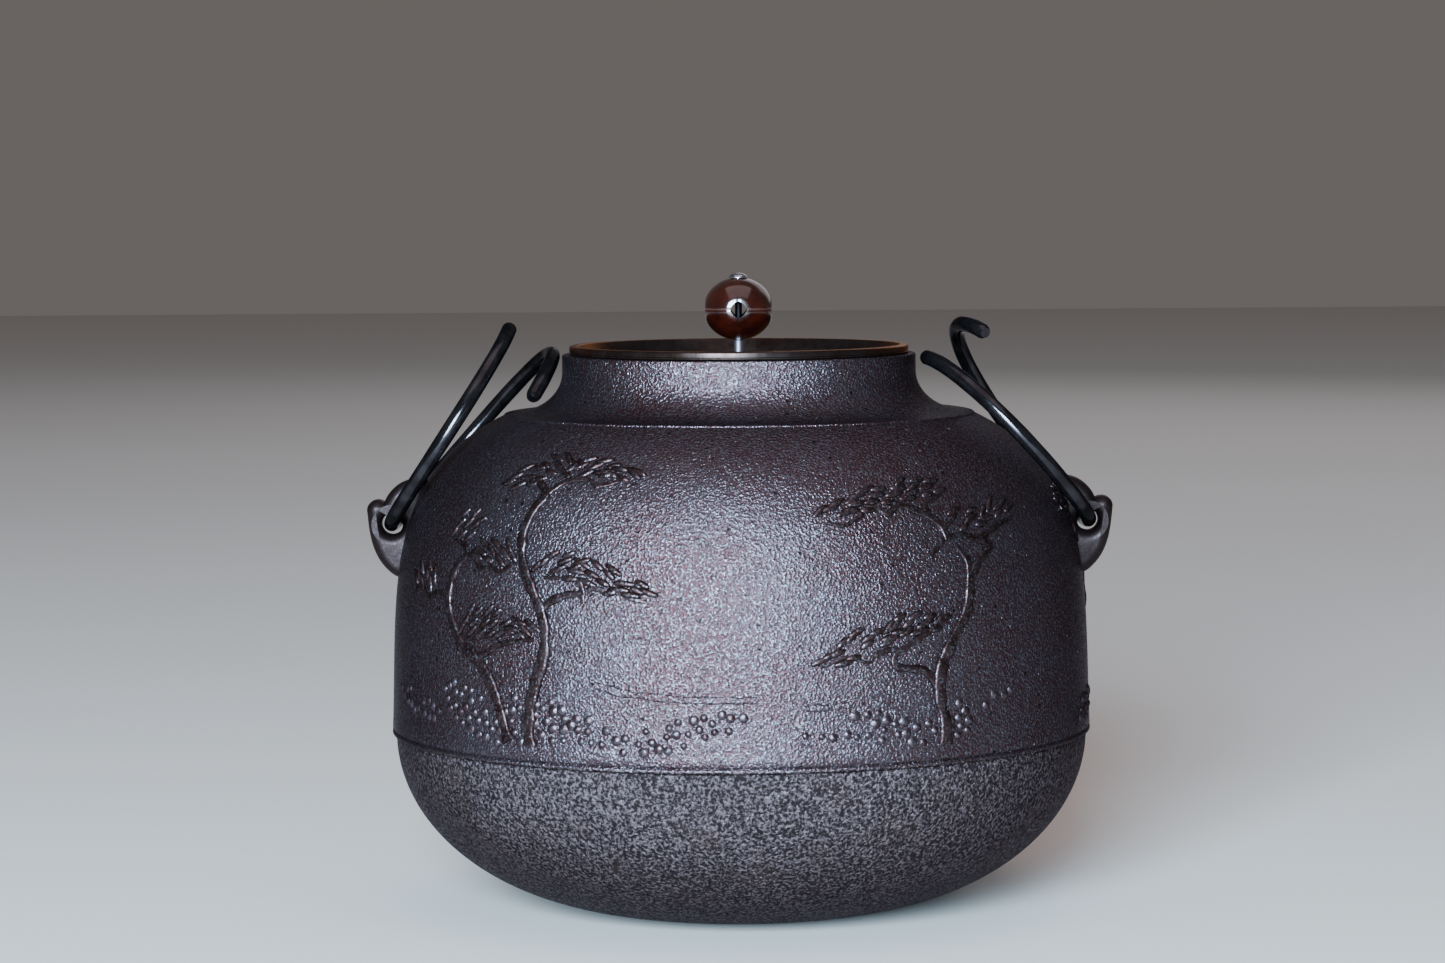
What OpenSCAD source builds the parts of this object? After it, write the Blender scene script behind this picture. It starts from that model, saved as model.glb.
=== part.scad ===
// Cast-iron kettle for the tea ceremony: a wide-mouthed body with two cast ears, an open iron
// ring through each ear, and a loose dished lid with a hollow ball knob.
// Frame: origin at the centre of the flat foot, +Z up, +Y to the back, ears on +X and -X.

/* [Kettle body] */
// Radius of the lip above the seam, the widest place of the kettle
lip_r = 121.6; // [119:0.2:123]
// How far the lip stands out over the lower bowl
lip_overhang = 2; // [1:0.1:2.4]
// Height of the seam above the foot
seam_z = 61; // [57:1:65]
// Radius of the flat foot
foot_r = 37; // [32:1:44]
// Height of the mouth's flat top
mouth_z = 191; // [189:0.5:195]
// Outer radius of the neck at the mouth
neck_r = 61; // [60:0.5:62]
// Inner radius of the mouth
mouth_r = 56; // [55:0.5:57]
// Radius of the raised ridge where the neck meets the shoulder
ridge_r = 81.2; // [79:0.2:83]
// Height of the ridge
ridge_z = 170.2; // [168:0.2:172]
// Thickness of the cast wall
wall = 3; // [3:0.5:5]
// Thickness of the bottom
floor_t = 4; // [4:0.5:6]

/* [Ears] */
// Distance from the kettle's axis to the centre of each eye
eye_x = 120.2; // [120:0.1:120.8]
// Height of the eyes
eye_z = 132.8; // [132:0.2:134]
// Radius of each eye
eye_r = 4.4; // [4.2:0.1:4.5]
// Thickness of an ear, front to back
ear_t = 12; // [9:1:15]
// How deep an ear's root is held in the wall
root_depth = 2; // [1:0.5:2.5]

/* [Rings] */
// Diameter of the iron rod
rod_d = 5.4; // [4.8:0.2:5.6]
// Radius of a ring, to the middle of the rod
ring_r = 40; // [39:0.2:40.4]
// How far the rod climbs across the ring in half a turn, which parts its two ends
ring_rise = 9; // [8:0.5:10]

/* [Lid] */
// Radius of the lid
lid_r = 58.5; // [58:0.5:60]
// Thickness of the lid's edge
lid_edge = 2.9; // [2.4:0.1:3.4]
// Width of the lid's flat rim
lid_rim_w = 3.2; // [2.8:0.2:4]
// Radius of the dish where it drops into the mouth
dish_r = 55; // [54:0.25:55.25]
// Depth of the dish below the rim
dish_depth = 5.6; // [4:0.2:7]
// Thickness of the dish
dish_t = 2; // [1.6:0.2:2.6]

/* [Knob] */
// Radius of the ball knob at its equator
knob_r = 12.1; // [10.5:0.05:12.5]
// Half of the ball knob's height
knob_half_h = 10.5; // [9.5:0.1:11]
// Height of the ball's centre above the lid's rim
knob_lift = 12.4; // [12:0.2:14]
// Wall thickness of the ball
knob_wall = 1.3; // [1:0.1:1.6]
// Radius of the four holes round the ball
knob_hole_r = 2.8; // [2:0.1:3.2]
// Radius of the stud below the ball
stem_r = 1.6; // [1.5:0.1:2]
// Radius of the stud inside the ball
spindle_r = 1.2; // [1:0.05:1.3]
// Running clearance between the ball and the stud
spin_gap = 0.05; // [0.02:0.01:0.1]

/* [Singing plates] */
// Radius of a plate
plate_r = 9; // [7:0.5:11]
// Distance from the kettle's axis to a plate's centre
plate_place_r = 20; // [16:1:22]
// Thickness of a plate
plate_t = 1.8; // [1.2:0.2:3]

/* [Hidden] */
$fn = 96;

iron = [0.25, 0.20, 0.21];
ear_iron = [0.30, 0.22, 0.22];
ring_iron = [0.10, 0.10, 0.11];
plate_iron = [0.20, 0.19, 0.19];
lid_bronze = [0.16, 0.12, 0.11];
knob_bronze = [0.32, 0.08, 0.05];
stud_silver = [0.62, 0.62, 0.64];

// Steps along a cubic curve and round a quarter of an ellipse
curve_steps = 20;
quarter_steps = 12;
// Overlap that keeps a cut from ending on a face
cut = 1;

// ---- Kettle body -------------------------------------------------------------------------
bowl_r = lip_r - lip_overhang;
lip_h = 1.5;
neck_straight = 6;
ridge_w = 1.8;
ridge_h = 0.6;
// The belly leaves the lip almost upright and comes to the ridge at a slant
belly_low_pull = [-1.9, 50.5];
belly_high_pull = [42.1, -20.2];

function cubic(p0, p1, p2, p3, t) =
    pow(1 - t, 3) * p0 + 3 * pow(1 - t, 2) * t * p1 + 3 * (1 - t) * t * t * p2 + t * t * t * p3;
function curve(p0, p1, p2, p3, n) = [for (i = [0:n]) cubic(p0, p1, p2, p3, i / n)];
// Quarter of an ellipse about c, from angle a0 to a1
function arc(c, rx, rz, a0, a1, n) =
    [for (i = [0:n]) let (a = a0 + (a1 - a0) * i / n) c + [rx * cos(a), rz * sin(a)]];

lip_top = [lip_r, seam_z + lip_h];
ridge_foot = [ridge_r, ridge_z];
neck_foot = [ridge_r - ridge_w, ridge_z + ridge_h + 0.5];
neck_top_z = mouth_z - neck_straight;

// Outer curve of the belly, moved inward by d
function belly(d) = curve(
    lip_top - [d, 0],
    lip_top + belly_low_pull - [d, 0],
    ridge_foot + belly_high_pull - [d, 0.6 * d],
    ridge_foot - [d, 0.8 * d],
    curve_steps
);

outer_profile = concat(
    [[0, 0]],
    arc([foot_r, seam_z], bowl_r - foot_r, seam_z, -90, 0, quarter_steps),
    [[lip_r - 0.3, seam_z + 0.2]],
    belly(0),
    [[ridge_r, ridge_z + ridge_h]],
    arc([neck_foot[0], neck_top_z], neck_foot[0] - neck_r, neck_top_z - neck_foot[1],
        -90, -180, quarter_steps),
    [[neck_r, mouth_z]]
);

inner_profile = concat(
    [[mouth_r, mouth_z]],
    arc([ridge_r - wall, neck_top_z], ridge_r - wall - mouth_r,
        neck_top_z - ridge_z + 0.8 * wall, -180, -90, quarter_steps),
    [for (i = [curve_steps - 1:-1:1]) belly(wall)[i]],
    arc([foot_r - 2, seam_z], bowl_r - wall - foot_r + 2, seam_z - floor_t,
        0, -90, quarter_steps),
    [[0, floor_t]]
);

module kettle_body() {
    color(iron)
    difference() {
        rotate_extrude() polygon(concat(outer_profile, inner_profile));
        ear_block(1);
        ear_block(-1);
    }
}

// ---- Ears --------------------------------------------------------------------------------
// Outline of an ear about the middle of its eye: a round bump above, a notch, a tip that
// points up and out, then a long outer edge that runs back to the wall.
ear_steps = 6;
ear_outline = concat(
    curve([-12, 15.4], [-4, 16.6], [0.8, 12.4], [2.6, 7.6], ear_steps),
    curve([2.6, 7.6], [5.4, 9.4], [9.4, 7.8], [8.6, 3.8], ear_steps),
    curve([8.6, 3.8], [8.0, -2.4], [7.4, -10.4], [1.4, -16], ear_steps),
    curve([1.4, -16], [-0.4, -17.8], [-3, -19.6], [-12, -20.2], ear_steps)
);

// The part of the kettle that an ear's root doesn't reach
module wall_core() {
    rotate_extrude()
    polygon(concat([[0, lip_top[1]]], belly(root_depth), [[0, ridge_z - 0.8 * root_depth]]));
}

// An ear without its eye, its root let into the wall
module ear_block(side) {
    difference() {
        translate([side * eye_x, 0, eye_z])
        rotate([90, 0, 0])
        linear_extrude(ear_t, center = true)
        polygon([for (p = ear_outline) [side * p[0], p[1]]]);
        wall_core();
    }
}

module ear(side) {
    color(ear_iron)
    difference() {
        ear_block(side);
        translate([side * eye_x, 0, eye_z])
        rotate([90, 0, 0])
        cylinder(h = ear_t + 2 * cut, r = eye_r, center = true);
    }
}

module left_lug() ear(-1);
module right_lug() ear(1);

// ---- Rings -------------------------------------------------------------------------------
// A ring is one open turn of rod that climbs as it goes round, so that its ends pass each
// other. It hangs from the origin, where the rod runs along Y through the eye.
ring_step = 6;
rod_sides = 14;

function ring_at(a, r, lift) =
    [ring_r - r * cos(a), r * sin(a), lift - ring_rise * a / 180];
function rod_section(a) = [
    for (i = [0:rod_sides - 1])
    let (b = 360 * i / rod_sides)
    ring_at(a, ring_r + rod_d / 2 * cos(b), rod_d / 2 * sin(b))
];

module open_ring(from, to) {
    turns = ceil((to - from) / ring_step);
    sections = [for (i = [0:turns]) each rod_section(from + (to - from) * i / turns)];
    sides = [
        for (i = [0:turns - 1], j = [0:rod_sides - 1])
        let (k = (j + 1) % rod_sides, a = i * rod_sides, b = a + rod_sides)
        [a + j, b + j, b + k, a + k]
    ];
    first_end = [for (j = [0:rod_sides - 1]) j];
    last_end = [for (j = [rod_sides - 1:-1:0]) turns * rod_sides + j];
    polyhedron(sections, concat(sides, [first_end, last_end]));
}

// heading is the way the ring leans, seen from the front; twist turns it about that way
module placed_ring(side, heading, twist, from, to) {
    color(ring_iron)
    translate([side * eye_x, 0, eye_z])
    rotate([0, -heading, 0])
    rotate([twist, 0, 0])
    open_ring(from, to);
}

module left_ring() placed_ring(-1, 52.6, 2.1, -168, 230);
module right_ring() placed_ring(1, 129.2, 7.4, -170, 213);

// ---- Lid ---------------------------------------------------------------------------------
lid_z = mouth_z + 0.1;
rim_z = lid_z + lid_edge;
dish_z = rim_z - dish_depth;
dish_slope = 1.5;
edge_round = 0.7;
tail_r = 1.2;
seat_r = 5.5;
seat_h = 1.4;
washer_r = 4;
washer_h = 0.9;
rivet_r = 2.3;
rivet_h = 0.9;
stem_top_z = rim_z + knob_lift - knob_half_h - 0.15;
head_r = 3.25;
head_h = 1.7;

module lid_plate() {
    rim_in = lid_r - lid_rim_w;
    color(lid_bronze)
    rotate_extrude()
    polygon(concat(
        [[tail_r, dish_z], [rim_in - dish_slope, dish_z], [rim_in, rim_z]],
        arc([lid_r - edge_round, rim_z - edge_round], edge_round, edge_round, 90, 0, 4),
        arc([lid_r - edge_round, lid_z + edge_round], edge_round, edge_round, 0, -90, 4),
        [[dish_r, lid_z], [dish_r - dish_slope, dish_z - dish_t], [tail_r, dish_z - dish_t]]
    ));
}

module knob_seat() {
    color(knob_bronze)
    rotate_extrude()
    polygon([
        [tail_r, dish_z], [seat_r, dish_z], [seat_r, dish_z + 0.4 * seat_h],
        [stem_r + 1, dish_z + seat_h], [tail_r, dish_z + seat_h]
    ]);
}

module stud_washer() {
    color(stud_silver)
    translate([0, 0, dish_z - dish_t - washer_h])
    difference() {
        cylinder(h = washer_h, r = washer_r);
        translate([0, 0, -cut]) cylinder(h = washer_h + 2 * cut, r = tail_r);
    }
}

// One turned stud: riveted tail under the lid, stem above it, spindle through the ball, head
module knob_stud() {
    tail_z = dish_z - dish_t - washer_h;
    head_z = rim_z + knob_lift + knob_half_h + 0.2;
    color(stud_silver)
    rotate_extrude()
    polygon(concat(
        [[0, tail_z - rivet_h], [rivet_r - 0.7, tail_z - rivet_h], [rivet_r, tail_z]],
        [[tail_r, tail_z], [tail_r, dish_z + seat_h], [stem_r, dish_z + seat_h]],
        [[stem_r, stem_top_z], [spindle_r, stem_top_z], [spindle_r, head_z]],
        arc([0, head_z], head_r, head_h, 0, 90, 8)
    ));
}

// ---- Ball knob ---------------------------------------------------------------------------
knob_z = rim_z + knob_lift;
knob_pole_r = 2.6;

// Half of the ball's outline, from the equator to the flat at the pole, made smaller by d
function ball_arc(d) =
    let (rx = knob_r - d, rz = knob_half_h - d + 0.3, last = acos((knob_pole_r - d / 2) / rx))
    [for (i = [0:quarter_steps]) let (a = last * i / quarter_steps) [rx * cos(a), rz * sin(a)]];

module half_ball() {
    outside = ball_arc(0);
    inside = ball_arc(knob_wall);
    top = outside[quarter_steps][1];
    bore_r = spindle_r + spin_gap;
    rotate_extrude()
    polygon(concat(
        outside,
        [[bore_r, top], [bore_r, inside[quarter_steps][1]]],
        [for (i = [quarter_steps:-1:0]) inside[i]]
    ));
}

module side_holes() {
    start = knob_r - knob_wall - knob_hole_r;
    for (a = [0:90:270])
        rotate([0, 0, a])
        translate([start, 0, 0])
        rotate([0, 90, 0])
        cylinder(h = knob_r - start + cut, r = knob_hole_r);
}

module knob_upper_shell() {
    color(knob_bronze)
    translate([0, 0, knob_z])
    difference() {
        half_ball();
        side_holes();
    }
}

module knob_lower_shell() {
    color(knob_bronze)
    translate([0, 0, knob_z])
    difference() {
        mirror([0, 0, 1]) half_ball();
        side_holes();
    }
}

// ---- Singing plates ----------------------------------------------------------------------
module singing_plate(n) {
    color(plate_iron)
    rotate([0, 0, 120 * n - 30])
    translate([plate_place_r, 0, floor_t])
    cylinder(h = plate_t, r = plate_r);
}

kettle_body();
left_lug();
right_lug();
singing_plate(1);  // singing_plate_1
singing_plate(2);  // singing_plate_2
singing_plate(3);  // singing_plate_3
lid_plate();
knob_seat();
stud_washer();
knob_stud();
knob_lower_shell();
knob_upper_shell();
left_ring();
right_ring();
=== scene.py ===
# %% [markdown]
# # A cast-iron kettle for the tea ceremony
#
# This notebook dresses a kettle whose pieces, sizes and joints were already worked out as solids.
# The solids are the frame: every piece made here lies where its solid lies, and moves with it.
# The work is in the looks: iron with the grain of its sand mould, pines standing out from the
# belly, forged rings, and a ball knob polished to a deep red.

# %% Load the frame
import math
import random

import bmesh
import bpy
from mathutils import Matrix, Vector


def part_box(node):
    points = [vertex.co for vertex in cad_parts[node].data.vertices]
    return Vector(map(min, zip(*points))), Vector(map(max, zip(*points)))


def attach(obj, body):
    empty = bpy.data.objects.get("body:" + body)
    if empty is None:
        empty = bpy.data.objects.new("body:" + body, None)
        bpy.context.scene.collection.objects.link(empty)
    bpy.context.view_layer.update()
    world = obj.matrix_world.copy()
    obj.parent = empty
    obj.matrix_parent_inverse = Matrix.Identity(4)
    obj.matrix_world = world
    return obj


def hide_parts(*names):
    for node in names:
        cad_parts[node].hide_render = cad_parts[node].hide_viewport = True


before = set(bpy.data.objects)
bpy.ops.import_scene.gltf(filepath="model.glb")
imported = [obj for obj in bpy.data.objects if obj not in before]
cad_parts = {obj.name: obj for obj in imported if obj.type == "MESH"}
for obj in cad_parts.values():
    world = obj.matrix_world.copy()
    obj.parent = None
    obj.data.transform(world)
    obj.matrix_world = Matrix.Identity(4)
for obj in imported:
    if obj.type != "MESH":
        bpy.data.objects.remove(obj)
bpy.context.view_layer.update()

MM = 0.001

# %% [markdown]
# ## The camera
#
# The kettle is seen almost level, from a little over one and a half metres, through a long lens.
# A long lens keeps the belly and the lid close to their true proportions. The camera is turned
# in three plain steps (yaw, pitch, roll), which reads more clearly than one mixed rotation.

# %% Place the camera
CAMERA_PLACE = Vector((0, -1.540, 0.2584))
CAMERA_YAW = 0.22
CAMERA_PITCH_DOWN = 4.15
CAMERA_ROLL = -0.395
CAMERA_LENS = 111.2


def make_camera():
    data = bpy.data.cameras.new("camera")
    data.sensor_width = 36
    data.lens = CAMERA_LENS
    data.clip_start = 0.05
    data.clip_end = 50
    camera = bpy.data.objects.new("camera", data)
    turn = Matrix.Rotation(math.radians(CAMERA_YAW), 4, "Z")
    turn @= Matrix.Rotation(math.radians(90 - CAMERA_PITCH_DOWN), 4, "X")
    turn @= Matrix.Rotation(math.radians(CAMERA_ROLL), 4, "Z")
    camera.matrix_world = Matrix.Translation(CAMERA_PLACE) @ turn
    bpy.context.scene.collection.objects.link(camera)
    bpy.context.scene.camera = camera


make_camera()

# %% [markdown]
# ## Helpers for curves and meshes
#
# Most of a kettle is turned: the body, the lid, the stud. A turned piece is one outline of
# (radius, height) pairs swept round the upright axis. The outlines below are built from the
# same few curves that a pattern maker would use: straight lines, quarter ellipses and one
# smooth cubic for the belly.


# %% Curves, and meshes made from them
def cubic(p0, p1, p2, p3, steps):
    points = []
    for i in range(steps + 1):
        t = i / steps
        weights = ((1 - t) ** 3, 3 * (1 - t) ** 2 * t, 3 * (1 - t) * t * t, t ** 3)
        ends = (p0, p1, p2, p3)
        points.append(tuple(sum(w * p[k] for w, p in zip(weights, ends)) for k in (0, 1)))
    return points


def arc(centre, radius_x, radius_z, start, stop, steps):
    """Part of an ellipse, from angle start to stop in degrees."""
    points = []
    for i in range(steps + 1):
        angle = math.radians(start + (stop - start) * i / steps)
        points.append((
            centre[0] + radius_x * math.cos(angle),
            centre[1] + radius_z * math.sin(angle),
        ))
    return points


def add_object(name, mesh):
    piece = bpy.data.objects.new(name, mesh)
    bpy.context.scene.collection.objects.link(piece)
    return piece


def mesh_from(name, vertices, faces):
    """A mesh in metres from millimetre vertices, its doubles merged and its faces outward."""
    mesh = bpy.data.meshes.new(name)
    mesh.from_pydata([Vector(v) * MM for v in vertices], [], faces)
    work = bmesh.new()
    work.from_mesh(mesh)
    bmesh.ops.remove_doubles(work, verts=work.verts, dist=1e-7)
    bmesh.ops.recalc_face_normals(work, faces=work.faces)
    work.to_mesh(mesh)
    work.free()
    mesh.polygons.foreach_set("use_smooth", [True] * len(mesh.polygons))
    return mesh


def turned_mesh(name, outline, segments, closed=False):
    """Sweeps (radius, height) pairs round Z. An open outline starts and ends on the axis."""
    vertices = []
    for radius, height in outline:
        for j in range(segments):
            angle = 2 * math.pi * j / segments
            vertices.append((radius * math.cos(angle), radius * math.sin(angle), height))
    faces = []
    count = len(outline)
    for i in range(count if closed else count - 1):
        low, high = i * segments, (i + 1) % count * segments
        for j in range(segments):
            k = (j + 1) % segments
            faces.append((low + j, low + k, high + k, high + j))
    return mesh_from(name, vertices, clean_faces(faces, vertices))


def clean_faces(faces, vertices):
    """Turns a quad whose side lies on the axis into a triangle."""
    result = []
    for face in faces:
        corners = []
        for index in face:
            if not any((Vector(vertices[index]) - Vector(vertices[c])).length < 1e-6 for c in corners):
                corners.append(index)
        if len(corners) > 2:
            result.append(corners)
    return result


def plain_mesh(piece):
    """What a piece's curve or modifiers make, as a mesh of its own."""
    bpy.context.view_layer.update()
    graph = bpy.context.evaluated_depsgraph_get()
    return bpy.data.meshes.new_from_object(piece.evaluated_get(graph))


def shade_by_angle(piece, degrees):
    """Smooth faces with crisp edges where two faces meet at more than this angle."""
    piece.data.set_sharp_from_angle(angle=math.radians(degrees))


def finish_piece(piece, body, slot, material, *nodes):
    """Gives a piece its finish and the body it moves with, and hides the solids it stands for."""
    piece.data.materials.clear()
    piece.data.materials.append(material)
    if nodes:
        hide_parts(*nodes)
    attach(piece, body)
    print(piece.name, "rides on", body, "with", len(piece.data.polygons), "faces")


# %% [markdown]
# ## Helpers for materials
#
# Every finish is built from noise on Object coordinates, in metres, so a grain of one
# millimetre stays one millimetre on each piece. The bump comes from the same noise as the
# colour, because on iron the pits hold the dark and the grains catch the light.


# %% Node helpers for materials
class Finish:
    """A Principled material with a few short ways to add noise, ramps and bump."""

    def __init__(self, name, **values):
        self.material = bpy.data.materials.new(name)
        self.material.use_nodes = True
        self.nodes = self.material.node_tree.nodes
        self.links = self.material.node_tree.links
        self.shader = self.nodes["Principled BSDF"]
        for socket, value in values.items():
            self.shader.inputs[socket.replace("_", " ")].default_value = value
        self.place = self.nodes.new("ShaderNodeTexCoord").outputs["Object"]

    def link(self, source, target):
        self.links.new(source, target)

    def noise(self, size_mm, detail=3.0, roughness=0.55):
        """Noise whose lumps are about size_mm across."""
        node = self.nodes.new("ShaderNodeTexNoise")
        node.inputs["Scale"].default_value = 1 / (size_mm * MM)
        node.inputs["Detail"].default_value = detail
        node.inputs["Roughness"].default_value = roughness
        self.link(self.place, node.inputs["Vector"])
        return node.outputs["Fac"]

    def cells(self, size_mm):
        """Distance to the nearest of many points scattered about size_mm apart."""
        node = self.nodes.new("ShaderNodeTexVoronoi")
        node.inputs["Scale"].default_value = 1 / (size_mm * MM)
        self.link(self.place, node.inputs["Vector"])
        return node.outputs["Distance"]

    def height(self):
        """Height above the table, in metres."""
        node = self.nodes.new("ShaderNodeSeparateXYZ")
        self.link(self.place, node.inputs["Vector"])
        return node.outputs["Z"]

    def spread(self, source, low, high, to_low=0.0, to_high=1.0):
        """Stretches the range low..high of source to to_low..to_high, and clamps it."""
        node = self.nodes.new("ShaderNodeMapRange")
        node.inputs["From Min"].default_value = low
        node.inputs["From Max"].default_value = high
        node.inputs["To Min"].default_value = to_low
        node.inputs["To Max"].default_value = to_high
        self.link(source, node.inputs["Value"])
        return node.outputs["Result"]

    def maths(self, operation, first, second):
        node = self.nodes.new("ShaderNodeMath")
        node.operation = operation
        for value, socket in ((first, node.inputs[0]), (second, node.inputs[1])):
            if isinstance(value, (int, float)):
                socket.default_value = value
            else:
                self.link(value, socket)
        return node.outputs["Value"]

    def mix(self, factor, first, second):
        """Mixes two colours, each an (r, g, b) or another node's output."""
        node = self.nodes.new("ShaderNodeMix")
        node.data_type = "RGBA"
        self.link(factor, node.inputs["Factor"])
        for value, name in ((first, "A"), (second, "B")):
            socket = [s for s in node.inputs if s.name == name and s.type == "RGBA"][0]
            if isinstance(value, tuple):
                socket.default_value = (*value, 1)
            else:
                self.link(value, socket)
        return [s for s in node.outputs if s.type == "RGBA"][0]

    def mix_values(self, factor, first, second):
        """Mixes two outputs or numbers."""
        node = self.nodes.new("ShaderNodeMix")
        self.link(factor, node.inputs["Factor"])
        for value, socket in ((first, node.inputs["A"]), (second, node.inputs["B"])):
            if isinstance(value, (int, float)):
                socket.default_value = value
            else:
                self.link(value, socket)
        return node.outputs["Result"]

    def colour(self, source):
        self.link(source, self.shader.inputs["Base Color"])

    def roughness(self, source):
        self.link(source, self.shader.inputs["Roughness"])

    def bump(self, *layers):
        """Stacks bump layers, each (source, height in mm)."""
        last = None
        for source, height_mm in layers:
            node = self.nodes.new("ShaderNodeBump")
            node.inputs["Strength"].default_value = 1.0
            node.inputs["Distance"].default_value = height_mm * MM
            self.link(source, node.inputs["Height"])
            if last:
                self.link(last, node.inputs["Normal"])
            last = node.outputs["Normal"]
        self.link(last, self.shader.inputs["Normal"])


# %% [markdown]
# ## Cast iron
#
# The kettle is cast in a sand and clay mould, and the mould's skin stays on the iron. Above
# the seam the grain is fine and the patina is brown with a purple cast. Below the seam the
# mould was coarser and the iron greyer. Both are one casting, so both are one material that
# changes with height. A few pale specks lie in the fine part, and small dark spots there are
# painted shade for pits that have no bump of their own. The relief, rubbed by every hand and
# cloth, is a darker brown with a smoother grain.

# %% Iron finishes
SEAM_Z = 61.0
IRON_BROWN = (0.049, 0.022, 0.024)
IRON_VIOLET = (0.060, 0.039, 0.045)
IRON_GREY = (0.122, 0.127, 0.150)
IRON_SAND = (0.170, 0.128, 0.136)
IRON_SOOT = (0.019, 0.013, 0.014)
IRON_RUST = (0.062, 0.036, 0.031)
IRON_SPECK = (0.42, 0.42, 0.46)


def iron(name, **values):
    """Iron under its patina: a dark metal whose edges do not shine white."""
    return Finish(name, Metallic=0.92, Specular_Tint=(0.22, 0.21, 0.24, 1), **values)


def body_iron():
    finish = iron("body iron")
    clouds = finish.spread(finish.noise(42, 3), 0.36, 0.64)
    stain = finish.spread(finish.noise(11, 4), 0.52, 0.72)
    grain = finish.noise(0.8, 2, 0.5)
    flecks = finish.spread(grain, 0.46, 0.70)
    upper = finish.mix(clouds, IRON_BROWN, IRON_VIOLET)
    upper = finish.mix(finish.maths("MULTIPLY", flecks, 0.8), upper, IRON_GREY)
    upper = finish.mix(finish.maths("MULTIPLY", stain, 0.3), upper, IRON_RUST)
    upper = finish.mix(finish.spread(finish.cells(5.5), 0.06, 0.04), upper, IRON_SPECK)
    # Painted shade: small dark spots stand for the shade inside pits, which are not modelled as bumps
    upper = finish.mix(finish.spread(finish.cells(7.0), 0.12, 0.07), upper, IRON_SOOT)

    sand = finish.noise(1.1, 3, 0.7)
    lower = finish.mix(finish.spread(sand, 0.46, 0.64), IRON_SOOT, IRON_SAND)
    lower = finish.mix(finish.maths("MULTIPLY", stain, 0.25), lower, IRON_RUST)

    below = finish.spread(finish.height(), (SEAM_Z + 1.2) * MM, (SEAM_Z + 0.4) * MM)
    finish.colour(finish.mix(below, upper, lower))
    fine_rough = finish.spread(grain, 0.35, 0.65, 0.37, 0.21)
    coarse_rough = finish.spread(sand, 0.35, 0.65, 0.60, 0.32)
    finish.roughness(finish.mix_values(below, fine_rough, coarse_rough))

    fine = finish.mix_values(below, grain, 0.5)
    coarse = finish.mix_values(below, 0.5, sand)
    finish.bump((finish.noise(6, 2), 0.2), (fine, 0.65), (coarse, 1.2))
    return finish.material


def relief_iron(name, deep, worn):
    finish = iron(name)
    grain = finish.noise(0.9, 2, 0.5)
    base = finish.mix(finish.spread(finish.noise(4, 2), 0.4, 0.65), deep, worn)
    finish.colour(finish.mix(finish.spread(grain, 0.52, 0.8), base, IRON_GREY))
    finish.roughness(finish.spread(grain, 0.35, 0.65, 0.42, 0.28))
    finish.bump((grain, 0.22),)
    return finish.material


def ear_iron():
    finish = Finish("ear iron", Metallic=0.6, Specular_Tint=(0.5, 0.4, 0.4, 1))
    clouds = finish.spread(finish.noise(7, 3), 0.35, 0.65)
    grain = finish.noise(0.9, 3)
    base = finish.mix(clouds, (0.0065, 0.0028, 0.0025), (0.0090, 0.0050, 0.0050))
    finish.colour(finish.mix(finish.spread(grain, 0.56, 0.8), base, (0.016, 0.013, 0.014)))
    finish.roughness(finish.spread(grain, 0.3, 0.7, 0.50, 0.38))
    finish.bump((finish.noise(6, 2), 0.2), (grain, 0.06))
    return finish.material


def ring_iron():
    finish = iron("forged ring iron")
    hammer = finish.noise(7, 2)
    scale = finish.noise(0.7, 3)
    base = finish.mix(finish.spread(hammer, 0.4, 0.62), (0.022, 0.019, 0.021), (0.040, 0.035, 0.038))
    finish.colour(base)
    finish.roughness(finish.spread(scale, 0.35, 0.65, 0.11, 0.19))
    finish.bump((hammer, 0.05), (scale, 0.004))
    return finish.material


def plate_iron():
    finish = Finish("singing plate iron", Metallic=0.5, Roughness=0.6)
    grain = finish.noise(1.2, 4)
    finish.colour(finish.mix(finish.spread(grain, 0.4, 0.65), (0.04, 0.036, 0.035), (0.10, 0.05, 0.03)))
    finish.roughness(finish.spread(grain, 0.3, 0.7, 0.7, 0.5))
    finish.bump((grain, 0.2),)
    return finish.material


BODY_IRON = body_iron()
RELIEF_IRON = relief_iron("rubbed relief iron", (0.026, 0.012, 0.011), (0.046, 0.027, 0.028))
PEBBLE_IRON = relief_iron("pebble iron", (0.044, 0.023, 0.025), (0.070, 0.052, 0.060))
EAR_IRON = ear_iron()
RING_IRON = ring_iron()
PLATE_IRON = plate_iron()

# %% [markdown]
# ## Bronze and silver
#
# The lid is turned bronze, darkened in the fire until it is almost black, and it keeps the
# very fine rings of the lathe. The ball knob is polished bronze with a deep red-brown
# colour under a clear, glassy skin. The stud is plain silver-grey metal.


# %% Bronze and silver finishes
def lid_bronze():
    finish = Finish("dark lid bronze", Metallic=0.9, Specular_Tint=(1.0, 0.60, 0.42, 1))
    clouds = finish.spread(finish.noise(14, 3), 0.38, 0.62)
    finish.colour(finish.mix(clouds, (0.024, 0.014, 0.012), (0.030, 0.022, 0.021)))
    finish.roughness(finish.spread(finish.noise(2.5, 3), 0.3, 0.7, 0.24, 0.36))
    rings = finish.nodes.new("ShaderNodeTexWave")
    rings.wave_type = "RINGS"
    rings.rings_direction = "Z"
    rings.inputs["Scale"].default_value = 420
    rings.inputs["Distortion"].default_value = 0.3
    finish.link(finish.place, rings.inputs["Vector"])
    finish.bump((rings.outputs["Fac"], 0.006), (finish.noise(1.0, 3), 0.012))
    return finish.material


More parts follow.
